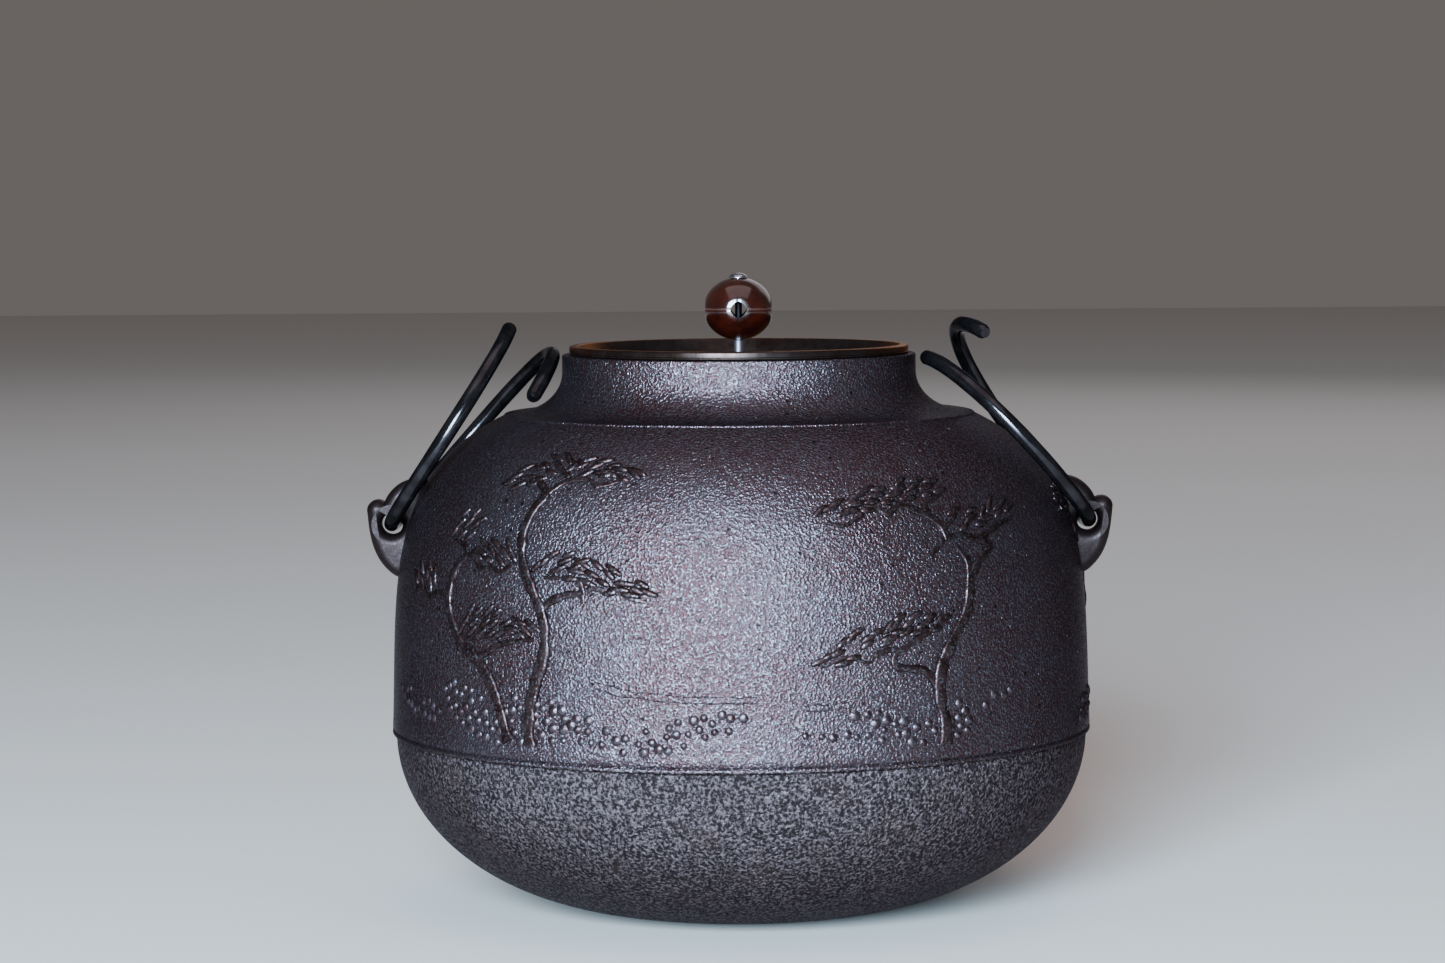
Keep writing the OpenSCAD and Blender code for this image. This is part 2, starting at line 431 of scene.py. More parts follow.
def knob_bronze():
    finish = Finish(
        "red knob bronze", Metallic=0.3, Roughness=0.22, Coat_Weight=0.55, Coat_Roughness=0.04
    )
    clouds = finish.spread(finish.noise(5, 3), 0.35, 0.65)
    base = finish.mix(clouds, (0.010, 0.0011, 0.0006), (0.022, 0.0025, 0.0010))
    # Painted highlight: a thin band where the two halves meet is a lighter red, standing for light
    # caught by the join line
    from_ball = finish.maths("SUBTRACT", finish.height(), BALL_MIDDLE)
    from_ball = finish.maths("ABSOLUTE", from_ball, 0.0)
    finish.colour(finish.mix(finish.spread(from_ball, 0.0001, 0.0003), (0.050, 0.014, 0.010), base))
    finish.bump((finish.noise(2.2, 2), 0.01),)
    return finish.material


def stud_silver():
    """Bright on the head, painted black inside the ball as painted shade, dull below it."""
    finish = Finish("stud silver", Metallic=1.0)
    tarnish = finish.spread(finish.noise(1.5, 4), 0.4, 0.66)
    bright = finish.mix(tarnish, (0.46, 0.46, 0.50), (0.16, 0.15, 0.17))
    head = finish.spread(finish.height(), BALL_MIDDLE + 9 * MM, BALL_MIDDLE + 10 * MM)
    # Painted shade: the part of the stud inside the hollow ball is painted black, where shade falls
    inside = finish.spread(finish.height(), BALL_MIDDLE - 9 * MM, BALL_MIDDLE - 8 * MM)
    below = finish.mix(inside, (0.16, 0.13, 0.15), (0.010, 0.009, 0.010))
    finish.colour(finish.mix(head, below, bright))
    finish.roughness(finish.mix_values(head, 0.5, 0.26))
    finish.bump((finish.noise(0.5, 2), 0.008),)
    return finish.material


BALL_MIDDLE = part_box("knob_upper_shell")[0].z
LID_BRONZE = lid_bronze()
KNOB_BRONZE = knob_bronze()
STUD_SILVER = stud_silver()

# %% [markdown]
# ## The body
#
# One casting, turned about the upright axis. The outline runs from the middle of the foot,
# up the round bowl, over the seam where the two halves of the mould met, up the belly to a
# thin raised ridge, in along the neck to the mouth, and back down the inside. The relief
# stands out from the belly by RELIEF_H, so the belly's ground lies that far inside the
# kettle's full width.

# %% Outline of the body
body_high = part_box("kettle_body")[1]
RELIEF_H = 1.0
FULL_R = body_high.x / MM
MOUTH_Z = body_high.z / MM
LIP_R = FULL_R - RELIEF_H
BOWL_R = 119.3
FOOT_R = 37.0
LIP_TOP = (LIP_R, SEAM_Z + 2.6)
RIDGE = (81.2, 170.2)
NECK_R = 61.0
MOUTH_R = 56.0
NECK_STRAIGHT = 6.0
WALL = 3.0
FLOOR_T = 4.0
EDGE_ROUND = 0.6

NECK_TOP_Z = MOUTH_Z - NECK_STRAIGHT
NECK_FOOT = (RIDGE[0] - 2.0, RIDGE[1] + 1.0)
BELLY = cubic(
    LIP_TOP,
    (LIP_TOP[0] - 1.9, LIP_TOP[1] + 49.0),
    (RIDGE[0] + 42.1, RIDGE[1] - 20.2),
    RIDGE,
    72,
)


def body_outline():
    bowl = arc((FOOT_R, SEAM_Z), BOWL_R - FOOT_R, SEAM_Z, -90, -2, 44)
    # Under the lip a hollow line, then the rounded lip, then a fine groove below the belly
    lip = [(BOWL_R + 0.1, SEAM_Z - 0.9), (BOWL_R - 0.1, SEAM_Z - 0.3)]
    lip += arc((LIP_R - 0.75, SEAM_Z + 0.95), 0.85, 0.85, -100, 60, 8)
    lip += [(LIP_R - 0.5, SEAM_Z + 1.95)]
    ridge = arc((RIDGE[0] - 0.6, RIDGE[1] + 0.1), 0.6, 0.55, 0, 120, 6)
    neck = arc(
        (NECK_FOOT[0], NECK_TOP_Z), NECK_FOOT[0] - NECK_R, NECK_TOP_Z - NECK_FOOT[1] + 0.3,
        -90, -180, 24,
    )
    rim = arc((NECK_R - EDGE_ROUND, MOUTH_Z - EDGE_ROUND), EDGE_ROUND, EDGE_ROUND, 0, 90, 4)
    rim += arc((MOUTH_R + EDGE_ROUND, MOUTH_Z - EDGE_ROUND), EDGE_ROUND, EDGE_ROUND, 90, 180, 4)
    inner_neck = arc(
        (RIDGE[0] - WALL, NECK_TOP_Z), RIDGE[0] - WALL - MOUTH_R,
        NECK_TOP_Z - RIDGE[1] + 0.8 * WALL, -180, -90, 12,
    )
    inner_belly = [(r - WALL, z - 0.8 * WALL * z / RIDGE[1]) for r, z in BELLY[-2:0:-4]]
    inner_bowl = arc(
        (FOOT_R - 2, SEAM_Z), BOWL_R - WALL - FOOT_R + 2, SEAM_Z - FLOOR_T, 0, -90, 16
    )
    return (
        [(0, 0)] + bowl + lip + BELLY + ridge + neck + rim
        + inner_neck + inner_belly + inner_bowl + [(0, FLOOR_T)]
    )


kettle = add_object("kettle_casting", turned_mesh("kettle_casting", body_outline(), 288))
shade_by_angle(kettle, 50)
finish_piece(kettle, "kettle", "body_iron", BODY_IRON, "kettle_body")

# %% [markdown]
# ## Geometry Nodes: one short way to build and run a tree
#
# Rings, trunks, needles and pebbles all follow a path or a surface, or repeat. Geometry Nodes
# suit that: the tree holds the rule, and its named inputs hold the sizes. A tree is run once,
# its result becomes a plain mesh, and the modifier goes away, so what is left is a mesh like
# any other.


# %% Helpers for Geometry Nodes
class Tree:
    """A Geometry Nodes tree with named inputs, built from short calls."""

    def __init__(self, name, **inputs):
        self.group = bpy.data.node_groups.new(name, "GeometryNodeTree")
        self.links = self.group.links
        face = self.group.interface
        face.new_socket("Geometry", in_out="INPUT", socket_type="NodeSocketGeometry")
        for label, kind in inputs.items():
            title = label.replace("_", " ")
            face.new_socket(title, in_out="INPUT", socket_type="NodeSocket" + kind)
        face.new_socket("Geometry", in_out="OUTPUT", socket_type="NodeSocketGeometry")
        self.given = self.group.nodes.new("NodeGroupInput").outputs
        self.result = self.group.nodes.new("NodeGroupOutput").inputs[0]

    def node(self, kind, settings=None, **sockets):
        """Adds a node. A socket's value is a number, a vector or another node's output."""
        node = self.group.nodes.new(kind)
        for label, value in (settings or {}).items():
            setattr(node, label, value)
        for label, value in sockets.items():
            self.put(value, self.named(node.inputs, label.replace("_", " ")))
        return node

    def named(self, sockets, title):
        """A node may hold several sockets of one name, of which only one is switched on."""
        found = [s for s in sockets if s.name == title]
        return next((s for s in found if s.enabled), found[0])

    def put(self, value, socket):
        if isinstance(value, bpy.types.NodeSocket):
            self.links.new(value, socket)
        else:
            socket.default_value = value

    def maths(self, operation, first, second=0.0):
        node = self.group.nodes.new("ShaderNodeMath")
        node.operation = operation
        self.put(first, node.inputs[0])
        self.put(second, node.inputs[1])
        return node.outputs[0]

    def vectors(self, operation, first, second=(0, 0, 0)):
        node = self.group.nodes.new("ShaderNodeVectorMath")
        node.operation = operation
        self.put(first, node.inputs[0])
        self.put(second, node.inputs[1])
        return node.outputs[0]

    def attribute(self, label, kind):
        node = self.node("GeometryNodeInputNamedAttribute", {"data_type": kind}, Name=label)
        return self.named(node.outputs, "Attribute")

    def surface(self):
        """The Surface input's geometry."""
        node = self.node("GeometryNodeObjectInfo", Object=self.given["Surface"])
        return node.outputs["Geometry"]

    def upright(self):
        """The way square to the surface at the place nearest to each point."""
        normal = self.node("GeometryNodeInputNormal").outputs[0]
        return self.node(
            "GeometryNodeSampleNearestSurface", {"data_type": "FLOAT_VECTOR"},
            Mesh=self.surface(), Value=normal,
        ).outputs["Value"]

    def standing(self, along):
        """The turn that stands a thing upright on the surface with its X lying along."""
        return self.node(
            "FunctionNodeAxesToRotation", {"primary_axis": "Z", "secondary_axis": "X"},
            Primary_Axis=self.upright(), Secondary_Axis=along,
        ).outputs[0]

    def end(self, geometry):
        """Every tree ends in Realize Instances and Set Material."""
        real = self.node("GeometryNodeRealizeInstances", Geometry=geometry)
        painted = self.node(
            "GeometryNodeSetMaterial", Geometry=real.outputs[0], Material=self.given["Material"]
        )
        self.links.new(painted.outputs[0], self.result)


def grow(carrier, tree, **values):
    """Runs a tree on an object and leaves its result as the object's plain mesh."""
    modifier = carrier.modifiers.new(tree.group.name, "NODES")
    modifier.node_group = tree.group
    for item in tree.group.interface.items_tree:
        label = item.name.replace(" ", "_")
        if item.in_out == "INPUT" and label in values:
            modifier[item.identifier] = values[label]
    mesh = plain_mesh(carrier)
    carrier.modifiers.remove(modifier)
    carrier.data = mesh
    return carrier


# %% [markdown]
# ## Where the landscape lies
#
# The pines, the shore and the pebbles are drawn on the belly as if it were unrolled: each
# place is a pair of whole millimetres, the way along the girth from the middle of the front
# and the height above the table. A maker marks a mould in the same way. The pair turns into
# a place on the belly through the belly's own curve.

# %% From the unrolled belly to the round one
TURN = 2 * math.pi * FULL_R


def belly_radius(height):
    """The belly's radius at a height in mm, read along its curve."""
    for (r0, z0), (r1, z1) in zip(BELLY, BELLY[1:]):
        if z0 <= height <= z1:
            return r0 + (r1 - r0) * (height - z0) / (z1 - z0)
    return BELLY[0][0] if height < BELLY[0][1] else BELLY[-1][0]


def on_belly(girth, height):
    """A place in metres for a pair in mm. Girth runs from the front towards +X."""
    angle = girth / FULL_R
    radius = belly_radius(height)
    return Vector((radius * math.sin(angle), -radius * math.cos(angle), height)) * MM


def belly_direction(girth, height, lean):
    """The way along the surface that leans by so many degrees from level, as a unit vector."""
    step = math.radians(lean)
    ahead = on_belly(girth + math.cos(step), height + math.sin(step))
    return (ahead - on_belly(girth, height)).normalized()


# %% [markdown]
# ## The pines
#
# Three pines stand on the front: a small one that leans out over the left, a tall one beside
# it, and one on the right with long level branches. Each is a trunk and a few branches, drawn
# with as few points as the bends need. A stroke is (thickness at its start, thickness at its
# end, places). The needles are short raised strokes in flat pads above the branches. A pad is
# (girth, height, span, rise, how many, lean).

# %% Strokes and pads of the three pines
SMALL_PINE = {
    "strokes": [
        (3.2, 2.0, [(-83, 69), (-86, 77), (-91, 87), (-99, 95), (-107, 99), (-114, 108),
                    (-116, 116), (-113, 124), (-108, 128)]),
        (1.7, 1.0, [(-108, 128), (-111, 131), (-114, 132), (-118, 133)]),
        (1.7, 1.0, [(-108, 128), (-104, 128), (-99, 124), (-94, 125), (-89, 124), (-84, 127)]),
        (1.8, 1.1, [(-114, 109), (-117, 114), (-124, 115), (-128, 113), (-134, 115), (-142, 115)]),
        (1.9, 1.0, [(-99, 95), (-94, 97), (-88, 100), (-80, 102), (-73, 103)]),
        (1.5, 0.9, [(-88, 100), (-93, 103), (-97, 102), (-102, 100)]),
    ],
    "pads": [
        (-112, 138, 15, 8, 9, 40), (-94, 130, 20, 5, 10, -32), (-135, 120, 18, 6, 8, -50),
        (-96, 107, 22, 8, 14, 38), (-79, 106, 12, 4, 6, -25),
    ],
}
TALL_PINE = {
    "strokes": [
        (3.4, 2.2, [(-74, 68), (-74, 76), (-73, 84), (-69, 96), (-68, 103), (-70, 112),
                    (-74, 118), (-79, 126), (-82, 136), (-80, 144), (-77, 149), (-83, 153)]),
        (1.8, 1.2, [(-77, 149), (-71, 153), (-66, 154), (-60, 154), (-56, 152)]),
        (1.3, 0.8, [(-56, 152), (-51, 153), (-46, 154), (-40, 153)]),
        (2.0, 1.5, [(-70, 112), (-67, 115), (-63, 117), (-59, 118), (-55, 118), (-54, 115)]),
        (1.7, 0.9, [(-54, 118), (-56, 122), (-60, 123), (-70, 123)]),
        (1.5, 0.8, [(-54, 118), (-51, 120), (-42, 119), (-36, 117), (-30, 116)]),
    ],
    "pads": [
        (-91, 154, 18, 6, 8, 12), (-77, 158, 22, 5, 9, -18), (-61, 158, 20, 4, 8, 14),
        (-47, 156, 16, 3, 6, -14), (-64, 128, 20, 5, 8, 28), (-51, 125, 18, 6, 9, -22),
        (-37, 120, 16, 4, 7, -12),
    ],
}
LEVEL_PINE = {
    "strokes": [
        (3.8, 2.4, [(71, 68), (71, 76), (69, 83), (70, 94), (78, 106), (82, 112), (84, 121)]),
        (2.0, 1.4, [(84, 121), (84, 127), (80, 132)]),
        (2.2, 1.5, [(84, 121), (88, 125), (92, 128), (97, 131)]),
        (1.8, 1.0, [(97, 131), (92, 133), (83, 135), (76, 134), (69, 129)]),
        (1.7, 0.9, [(92, 133), (99, 136), (106, 138), (114, 139)]),
        (2.0, 1.6, [(77, 134), (75, 139), (68, 143), (59, 146)]),
        (1.7, 0.9, [(59, 146), (55, 143), (51, 145), (46, 144), (38, 140), (31, 141)]),
        (1.4, 0.9, [(70, 142), (72, 146), (80, 148)]),
        (2.2, 1.5, [(70, 84), (65, 91), (61, 93), (53, 94), (52, 97), (54, 99), (60, 102)]),
        (1.5, 1.0, [(60, 102), (67, 106), (73, 108)]),
        (1.5, 0.8, [(54, 99), (51, 100), (45, 98), (43, 96), (35, 98), (26, 95)]),
    ],
    "pads": [
        (53, 149, 24, 4, 10, 10), (38, 145, 20, 3, 7, 12), (70, 151, 22, 5, 10, 12),
        (88, 140, 24, 5, 8, 16), (106, 143, 18, 4, 7, 24), (61, 108, 24, 5, 12, 22),
        (44, 104, 22, 5, 9, 20), (32, 98, 14, 3, 5, 18),
    ],
}


def moved_pine(pine, shift, mirrored):
    """The same pine further round the kettle, or its mirror image."""
    side = -1 if mirrored else 1
    strokes = [
        (first, last, [(side * girth + shift, height) for girth, height in places])
        for first, last, places in pine["strokes"]
    ]
    pads = [
        (side * girth + shift, height, span, rise, count, side * lean)
        for girth, height, span, rise, count, lean in pine["pads"]
    ]
    return {"strokes": strokes, "pads": pads}


# Round the back the same three pines stand again, most of them mirrored
PINES = [
    SMALL_PINE, TALL_PINE, LEVEL_PINE,
    moved_pine(LEVEL_PINE, 0.36 * TURN, True),
    moved_pine(TALL_PINE, 0.50 * TURN, True),
    moved_pine(SMALL_PINE, 0.56 * TURN, True),
    moved_pine(LEVEL_PINE, 0.60 * TURN, False),
]
SHORE = [
    (1.9, 1.5, [(-49, 89), (-40, 87), (-30, 86), (-15, 85), (5, 85)]),
    (1.7, 1.4, [(20, 82), (28, 82), (36, 83)]),
]

# %% [markdown]
# ## Trunks and branches
#
# A trunk follows a path on the belly. The path goes in as bare edges that carry their
# thickness. The tree rounds the path, drops it onto the casting's own surface, turns its
# section to stand square on that surface, and sweeps a low section along it. The section has
# soft flanks and a flat top, as if a cord of clay had been pressed down with a finger.


# %% The tree that models a stroke
def stroke_section():
    """The section of a stroke, one unit wide: sunk sides, soft shoulders and a flat top."""
    points = [(0.56, -0.35), (0.55, -0.02), (0.50, 0.15), (0.42, 0.24), (0.28, 0.275)]
    points = [(-across, up) for across, up in points] + points[::-1]
    curve = bpy.data.curves.new("stroke_section", "CURVE")
    spline = curve.splines.new("POLY")
    spline.points.add(len(points) - 1)
    for point, (across, up) in zip(spline.points, points):
        point.co = (up, across, 0, 1)
    spline.use_cyclic_u = True
    return bpy.data.objects.new("stroke_section", curve)


def stroke_tree():
    tree = Tree(
        "strokes on a surface", Surface="Object", Section="Object", Spacing="Float",
        Wander="Float", Material="Material",
    )
    section = tree.node("GeometryNodeObjectInfo", Object=tree.given["Section"]).outputs["Geometry"]
    curve = tree.node("GeometryNodeMeshToCurve", Mesh=tree.given["Geometry"]).outputs[0]
    curve = tree.node(
        "GeometryNodeCurveSplineType", {"spline_type": "CATMULL_ROM"}, Curve=curve
    ).outputs[0]
    curve = tree.node(
        "GeometryNodeResampleCurve", {"mode": "LENGTH"}, Curve=curve, Length=tree.given["Spacing"]
    ).outputs[0]
    place = tree.node("GeometryNodeInputPosition").outputs[0]
    noise = tree.node("ShaderNodeTexNoise", Vector=place, Scale=220.0, Detail=1.0)
    drift = tree.vectors("SUBTRACT", noise.outputs["Color"], (0.5, 0.5, 0.5))
    drift = tree.node(
        "ShaderNodeVectorMath", {"operation": "SCALE"}, Vector=drift, Scale=tree.given["Wander"]
    ).outputs[0]
    curve = tree.node("GeometryNodeSetPosition", Geometry=curve, Offset=drift).outputs[0]
    near = tree.node("GeometryNodeProximity", Geometry=tree.surface())
    curve = tree.node(
        "GeometryNodeSetPosition", Geometry=curve, Position=near.outputs["Position"]
    ).outputs[0]
    curve = tree.node(
        "GeometryNodeSetCurveNormal", {"mode": "FREE"}, Curve=curve, Normal=tree.upright()
    ).outputs[0]
    width = tree.attribute("thickness", "FLOAT")
    swell = tree.maths("MULTIPLY", width, tree.maths("ADD", noise.outputs["Fac"], 0.5))
    rib = tree.node(
        "GeometryNodeCurveToMesh", Curve=curve, Profile_Curve=section, Scale=swell, Fill_Caps=True
    ).outputs[0]
    tree.end(rib)
    return tree


def stroke_carrier(name, strokes):
    """Bare edges along every stroke, each corner with its thickness in metres."""
    vertices, edges, thickness = [], [], []
    for first, last, places in strokes:
        for i, (girth, height) in enumerate(places):
            if i:
                edges.append((len(vertices) - 1, len(vertices)))
            vertices.append(on_belly(girth, height))
            cord = first + (last - first) * i / (len(places) - 1)
            thickness.append(PRESSED * cord * MM)
    mesh = bpy.data.meshes.new(name)
    mesh.from_pydata(vertices, edges, [])
    layer = mesh.attributes.new("thickness", "FLOAT", "POINT")
    layer.data.foreach_set("value", thickness)
    return add_object(name, mesh)


def keep_inside(piece):
    """Rubs down whatever stands further out than the kettle's full width."""
    limit = FULL_R * MM
    for vertex in piece.data.vertices:
        reach = math.hypot(vertex.co.x, vertex.co.y)
        if reach > limit:
            vertex.co.x *= limit / reach
            vertex.co.y *= limit / reach


PRESSED = 1.3  # how far a cord of clay spreads when it is pressed down
STROKES = stroke_tree()
SECTION = stroke_section()
all_strokes = [stroke for pine in PINES for stroke in pine["strokes"]]
pine_trunks = grow(
    stroke_carrier("pine_trunks", all_strokes), STROKES, Surface=kettle, Section=SECTION,
    Spacing=0.9 * MM, Wander=0.8 * MM, Material=RELIEF_IRON,
)
shore = grow(
    stroke_carrier("shore_line", SHORE), STROKES, Surface=kettle, Section=SECTION,
    Spacing=1.2 * MM, Wander=1.0 * MM, Material=BODY_IRON,
)
for piece, material in ((pine_trunks, RELIEF_IRON), (shore, BODY_IRON)):
    keep_inside(piece)
    shade_by_angle(piece, 60)
    finish_piece(piece, "kettle", "body_iron", material)

# %% [markdown]
# ## Needles
#
# A pine's needles are pressed in with one small tool, again and again, so they are one
# lens-shaped stroke set on many points. Each point knows which way its needle lies. The tree
# sets a lens on every point, square to the surface under it.


# %% The tree that sets a lens on each point
def needle_tree():
    tree = Tree(
        "needles on a surface", Surface="Object", Width="Float", Height="Float",
        Material="Material",
    )
    lens = tree.node("GeometryNodeMeshUVSphere", Segments=10, Rings=6, Radius=0.5)
    turn = tree.standing(tree.attribute("along", "FLOAT_VECTOR"))
    length = tree.attribute("length", "FLOAT")
    size = tree.node(
        "ShaderNodeCombineXYZ", X=length, Y=tree.given["Width"], Z=tree.given["Height"]
    ).outputs[0]
    points = tree.node("GeometryNodeMeshToPoints", Mesh=tree.given["Geometry"]).outputs[0]
    needles = tree.node(
        "GeometryNodeInstanceOnPoints", Points=points, Instance=lens.outputs["Mesh"],
        Rotation=turn, Scale=size,
    ).outputs[0]
    tree.end(needles)
    return tree


def needle_carrier(name, pads, chance):
    """One bare point for each needle: rows that fan out over each pad."""
    vertices, along, lengths = [], [], []
    for girth, height, span, rise, count, lean in pads:
        for i in range(count):
            across = (i + 0.5) / count * 2 - 1
            row = (i % 3 - 1) * 0.5
            place_girth = girth + across * span / 2 + chance.uniform(-0.8, 0.8)
            place_height = height + row * rise * (1 - 0.6 * across * across)
            place_height += chance.uniform(-0.5, 0.5)
            tilt = lean - FAN * across + chance.uniform(-9, 9)
            vertices.append(on_belly(place_girth, place_height))
            along.extend(belly_direction(place_girth, place_height, tilt))
            lengths.append(chance.uniform(*NEEDLE_LENGTHS) * MM)
    mesh = bpy.data.meshes.new(name)
    mesh.from_pydata(vertices, [], [])
    mesh.attributes.new("along", "FLOAT_VECTOR", "POINT").data.foreach_set("vector", along)
    mesh.attributes.new("length", "FLOAT", "POINT").data.foreach_set("value", lengths)
    return add_object(name, mesh)


FAN = 14  # degrees that the end needles of a pad turn from its middle ones
NEEDLE_LENGTHS = (5.6, 8.6)
NEEDLE_W = 2.3
NEEDLE_H = 1.8
all_pads = [pad for pine in PINES for pad in pine["pads"]]
pine_needles = grow(
    needle_carrier("pine_needles", all_pads, random.Random(7)), needle_tree(),
    Surface=kettle, Width=NEEDLE_W * MM, Height=NEEDLE_H * MM, Material=RELIEF_IRON,
)
keep_inside(pine_needles)
shade_by_angle(pine_needles, 80)
finish_piece(pine_needles, "kettle", "body_iron", RELIEF_IRON)

# %% [markdown]
# ## Pebbles along the shore
#
# Drifts of small round pebbles lie between the trunks. Each drift is an oval patch of the
# belly. The tree scatters points on the patches, never closer than PEBBLE_APART, and sets a
# ball on each, sunk so far that only a low dome of it shows. The seed is fixed, so the beach
# is the same each time.

# %% Drifts of pebbles
PEBBLE_APART = 2.8
PEBBLE_BALL = 4.8
PEBBLE_SUNK = 0.36  # how deep the ball's middle lies, as a part of its width
LOWEST_DRIFT = SEAM_Z + 6.5
# Each drift is (girth, height, half length, half height, tilt)
FRONT_DRIFTS = [
    (-137, 77, 20, 4, -6), (-101, 77, 19, 6.5, -22), (-80, 76, 5, 8, 0), (-62, 76, 12, 7, -14),
    (-45, 71, 14, 3.5, -4), (-25, 72, 13, 4.5, 12), (-11, 77, 13, 4, 10), (31, 72, 13, 2, 0),
    (45, 77, 9, 3, -8), (56, 72, 11, 6, 4), (77, 75, 4.5, 6, 0), (95, 81, 10, 2, 10),
]
BACK_DRIFTS = [
    (girth + 0.25 * TURN * k, height, length, depth, tilt)
    for k in (1, 2) for girth, height, length, depth, tilt in FRONT_DRIFTS[k::2]
    if k == 2 or girth > -60
]


def drift_patches(name, drifts):
    """An oval fan of faces on the belly for each drift."""
    vertices, faces = [], []
    rim = 24
    for girth, height, length, depth, tilt in drifts:
        start = len(vertices)
        vertices.append(on_belly(girth, height))
        slope = math.radians(tilt)
        for ring in (1 / 3, 2 / 3, 1):
            for j in range(rim):
                angle = 2 * math.pi * j / rim
                x, z = length * ring * math.cos(angle), depth * ring * math.sin(angle)
                vertices.append(on_belly(
                    girth + x * math.cos(slope) - z * math.sin(slope),
                    max(LOWEST_DRIFT, height + x * math.sin(slope) + z * math.cos(slope)),
                ))
        for j in range(rim):
            k = (j + 1) % rim
            faces.append((start, start + 1 + j, start + 1 + k))
            for ring in (0, 1):
                low, high = start + 1 + ring * rim, start + 1 + (ring + 1) * rim
                faces.append((low + j, high + j, high + k, low + k))
    mesh = bpy.data.meshes.new(name)
    mesh.from_pydata(vertices, [], faces)
    return add_object(name, mesh)


def pebble_tree():
    tree = Tree(
        "pebbles on patches", Surface="Object", Apart="Float", Size="Float", Height="Float",
        Seed="Int", Material="Material",
    )
    scattered = tree.node(
        "GeometryNodeDistributePointsOnFaces", {"distribute_method": "POISSON"},
        Mesh=tree.given["Geometry"], Distance_Min=tree.given["Apart"], Density_Max=2e5,
        Seed=tree.given["Seed"],
    )
    turn = tree.standing((0, 0, 1))
    wide = tree.node("FunctionNodeRandomValue", Min=0.72, Max=1.12, Seed=3)
    wide = tree.maths("MULTIPLY", tree.named(wide.outputs, "Value"), tree.given["Size"])
    size = tree.node("ShaderNodeCombineXYZ", X=wide, Y=wide, Z=tree.given["Height"]).outputs[0]
    ball = tree.node("GeometryNodeMeshIcoSphere", Subdivisions=3, Radius=0.5)
    sunk = tree.node(
        "GeometryNodeTransform", Geometry=ball.outputs["Mesh"], Translation=(0, 0, -PEBBLE_SUNK)
    ).outputs[0]
    domes = tree.node(
        "GeometryNodeInstanceOnPoints", Points=scattered.outputs["Points"],
        Instance=sunk, Rotation=turn, Scale=size,
    ).outputs[0]
    tree.end(domes)
    return tree


pebbles = grow(
    drift_patches("pebbles", FRONT_DRIFTS + BACK_DRIFTS), pebble_tree(), Surface=kettle,
    Apart=PEBBLE_APART * MM, Size=PEBBLE_BALL * MM, Height=PEBBLE_BALL * MM, Seed=4,
    Material=PEBBLE_IRON,
)
keep_inside(pebbles)
shade_by_angle(pebbles, 80)
finish_piece(pebbles, "kettle", "body_iron", PEBBLE_IRON)

# %% [markdown]
# ## The ears
#
# Each ear is a thick cast loop with a round eye from front to back. Smooth curves make its
# outline: a round bump above, a notch, a tip that points up and out, and a long outer edge
# back to the wall. A filled curve with a bevel gives soft cast edges round the outline and round the eye
# at once, which a box cut by a cylinder would not.

# %% Ears with soft cast edges
EYE = Vector((120.2, 0, 132.8))
EYE_R = 3.7
lug_low, lug_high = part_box("right_lug")
EAR_T = (lug_high.y - lug_low.y) / MM
EAR_SOFTNESS = 3.2
CIRCLE_PULL = 0.5523  # handle length that makes four curves of radius 1 a circle
# Corners of the outline about the eye, with the pull of the curve before and after each
EAR_CORNERS = [
    ((-12, 15.4), (-12, 10), (-4, 16.6)),
    ((2.6, 7.6), (0.8, 12.4), (5.4, 9.4)),
    ((8.5, 3.8), (9.3, 7.8), (7.9, -2.4)),
    ((1.4, -16), (7.4, -10.4), (-0.4, -17.8)),
    ((-12, -20.2), (-3, -19.6), (-12, -10)),
]


def bezier_loop(curve, corners):
    spline = curve.splines.new("BEZIER")
    spline.bezier_points.add(len(corners) - 1)
    for point, (place, before, after) in zip(spline.bezier_points, corners):
        point.co = (*place, 0)
        point.handle_left = (*before, 0)
        point.handle_right = (*after, 0)
    spline.use_cyclic_u = True
    spline.resolution_u = 14


def ear_mesh(name, side):
    curve = bpy.data.curves.new(name, "CURVE")
    curve.dimensions = "2D"
    curve.fill_mode = "BOTH"
    curve.extrude = EAR_T / 2 - EAR_SOFTNESS
    curve.bevel_depth = EAR_SOFTNESS
    curve.bevel_resolution = 5
    curve.offset = -EAR_SOFTNESS
    bezier_loop(curve, EAR_CORNERS)
    pull = EYE_R * CIRCLE_PULL
    bezier_loop(curve, [
        (
            (EYE_R * x, EYE_R * y),
            (EYE_R * x - pull * y, EYE_R * y + pull * x),
            (EYE_R * x + pull * y, EYE_R * y - pull * x),
        )
        for x, y in ((1, 0), (0, -1), (-1, 0), (0, 1))
    ])
    flat = add_object(name, curve)
    raw = plain_mesh(flat)
    bpy.data.objects.remove(flat)
    vertices = [(side * (v.co.x + EYE.x), v.co.z, v.co.y + EYE.z) for v in raw.vertices]
    return mesh_from(name, vertices, [tuple(face.vertices) for face in raw.polygons])


for side, name in ((-1, "left"), (1, "right")):
    ear = add_object(name + "_ear", ear_mesh(name + "_ear", side))
    shade_by_angle(ear, 42)
    finish_piece(ear, "kettle", "ear_iron", EAR_IRON, name + "_lug")

# %% [markdown]
# ## The rings
#
# A ring is one rod of iron, bent hot into an open turn whose ends pass each other. Its middle
# line is a rule, a circle that climbs as it goes round, so a tree works it out from a few
# sizes and angles. The rod is not quite even, as forged work never is, and its cut ends are rounded a
# little by the file.

# %% Rings from their rule
ROD_D = 5.4
RING_R = 40.0
RING_RISE = 9.0


